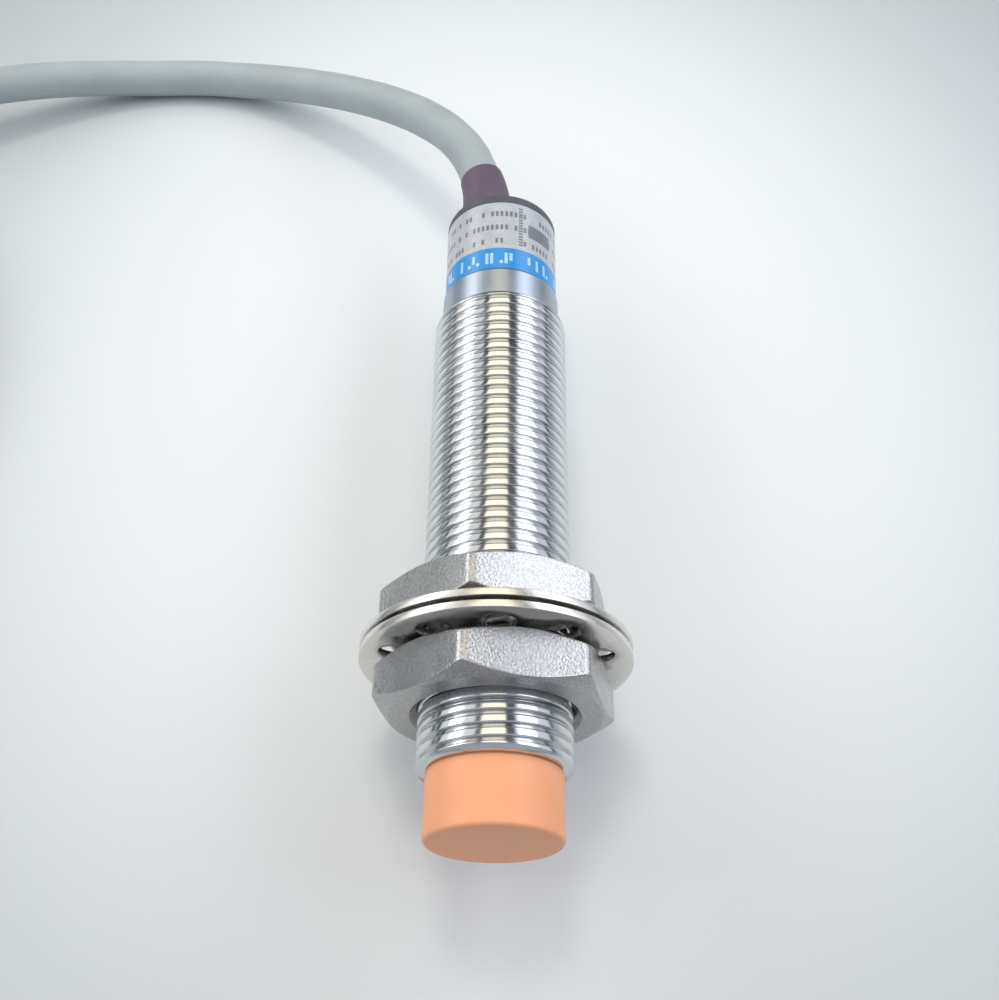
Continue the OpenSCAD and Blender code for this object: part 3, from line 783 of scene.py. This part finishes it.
tips = bmesh.new()
for k, lead, slot, shades in ((1, "brown_lead", "brown_pvc", ("#5f3820", "#6f4429")),
                              (0, "blue_lead", "blue_pvc", ("#1f4f9c", "#2a5cab")),
                              (-1, "black_lead", "black_pvc", ("#17171a", "#212125"))):
    bm = bmesh.new()
    reaches = [-0.6 + 0.9 * i for i in range(27)] + [LEAD_LEN - 0.06, LEAD_LEN]
    sweep(bm, [lead_point(k, r) for r in reaches],
          [LEAD_R * MM] * (len(reaches) - 1) + [(LEAD_R - 0.07) * MM], sides=20)
    # Extruded insulation: smooth, semi-gloss, and slightly dented by the jacket.
    insulation = surface("extruded_" + slot, shades, (0.3, 0.42), patch=0.002, grain=0.0004,
                         height=0.000006)
    finished("insulated_" + lead, bm, "root", slot, insulation, lead)
    for strand in range(STRANDS):
        lay = 0 if strand == 0 else LAY_R
        strand_route = []
        for step in range(STRAND_STEPS + 1):
            reach = LEAD_LEN - 0.4 + (TIP_LEN + 0.4) * step / STRAND_STEPS
            turn = math.tau * (strand / (STRANDS - 1) + reach / LAY_LEN)
            strand_route.append(lead_point(k, reach) + (lead_side * math.cos(turn)
                                                        + Vector((0, 0, 1)) * math.sin(turn))
                                * lay * MM - Vector((0, 0, STRAND_SINK * MM)))
        sweep(tips, strand_route, [STRAND_R * MM] * STRAND_STEPS + [STRAND_R * 0.7 * MM], sides=8)
# Tinned by dipping: grey, bright and a little uneven.
tinned = surface("dip_tinned_copper_strand", ("#b9b9bb", "#cfcfd2"), (0.22, 0.38),
                 patch=0.0008, grain=0.0002, height=0.000006, Metallic=1.0)
finished("strands", tips, "root", "tinned_copper", tinned, "lead_tips")

# Pieces whose CAD shape is right: the end cap, and what is sealed in the barrel. Each takes
# the finish of its slot: what it is, its two shades, its roughness, the size of its patches,
# the size and height of its grain in millimetres, and whether it is metal.
kept = {
    "end_cap_plastic": ("moulded_dark_nylon", "#464b53", "#535962", 0.4, 0.52, 2, 0.2, 0.008, 0),
    "ferrite": ("pressed_and_fired_ferrite", "#2a2a2d", "#3a3a3e", 0.55, 0.7, 0.8, 0.1, 0.01, 0),
    "bobbin_plastic": ("moulded_bobbin_nylon", "#d9d0bd", "#e4dccb", 0.45, 0.55, 1, 0.2, 0.006, 0),
    "copper": ("enamelled_copper_wire", "#a35a22", "#bd6e2c", 0.22, 0.32, 0.5, 0.1, 0.01, 1),
    "resin": ("cast_epoxy_resin", "#1f1f24", "#2a2a30", 0.15, 0.3, 3, 0.6, 0.01, 0),
    "board": ("solder_masked_glass_epoxy", "#14532a", "#1d6535", 0.3, 0.42, 1.5, 0.25, 0.006, 0),
    "chip_plastic": ("transfer_moulded_epoxy", "#1b1b1d", "#262628", 0.5, 0.62, 0.6, 0.1, 0.006, 0),
    "resistor": ("glazed_thick_film_chip", "#141417", "#222226", 0.25, 0.4, 0.5, 0.1, 0.005, 0),
    "capacitor": ("fired_ceramic_chip", "#a98a58", "#bb9d6c", 0.5, 0.6, 0.5, 0.1, 0.006, 0),
    "led_plastic": ("cast_red_epoxy_lens", "#b3241a", "#c83226", 0.15, 0.25, 0.8, 0.2, 0.003, 0),
    "solder": ("reflowed_solder", "#b4b4b8", "#c8c8cc", 0.2, 0.35, 0.4, 0.1, 0.01, 1),
    "board_lead_plastic": ("extruded_core_pvc", "#4a3a38", "#584644", 0.35, 0.45, 1, 0.2, 0.006, 0),
}
kept_materials = {}
for slot, (name, dark, light, smooth, rough, patch, grain, height, metal) in kept.items():
    kept_materials[slot] = surface(name, (dark, light), (smooth, rough), patch * MM, grain * MM,
                                   height * MM, Metallic=float(metal))
for part in frame["record"]["subparts"]:
    if part["material_slot"] in kept_materials:
        for socket in frame["nodes"][part["node"]].material_slots:
            socket.material = kept_materials[part["material_slot"]]
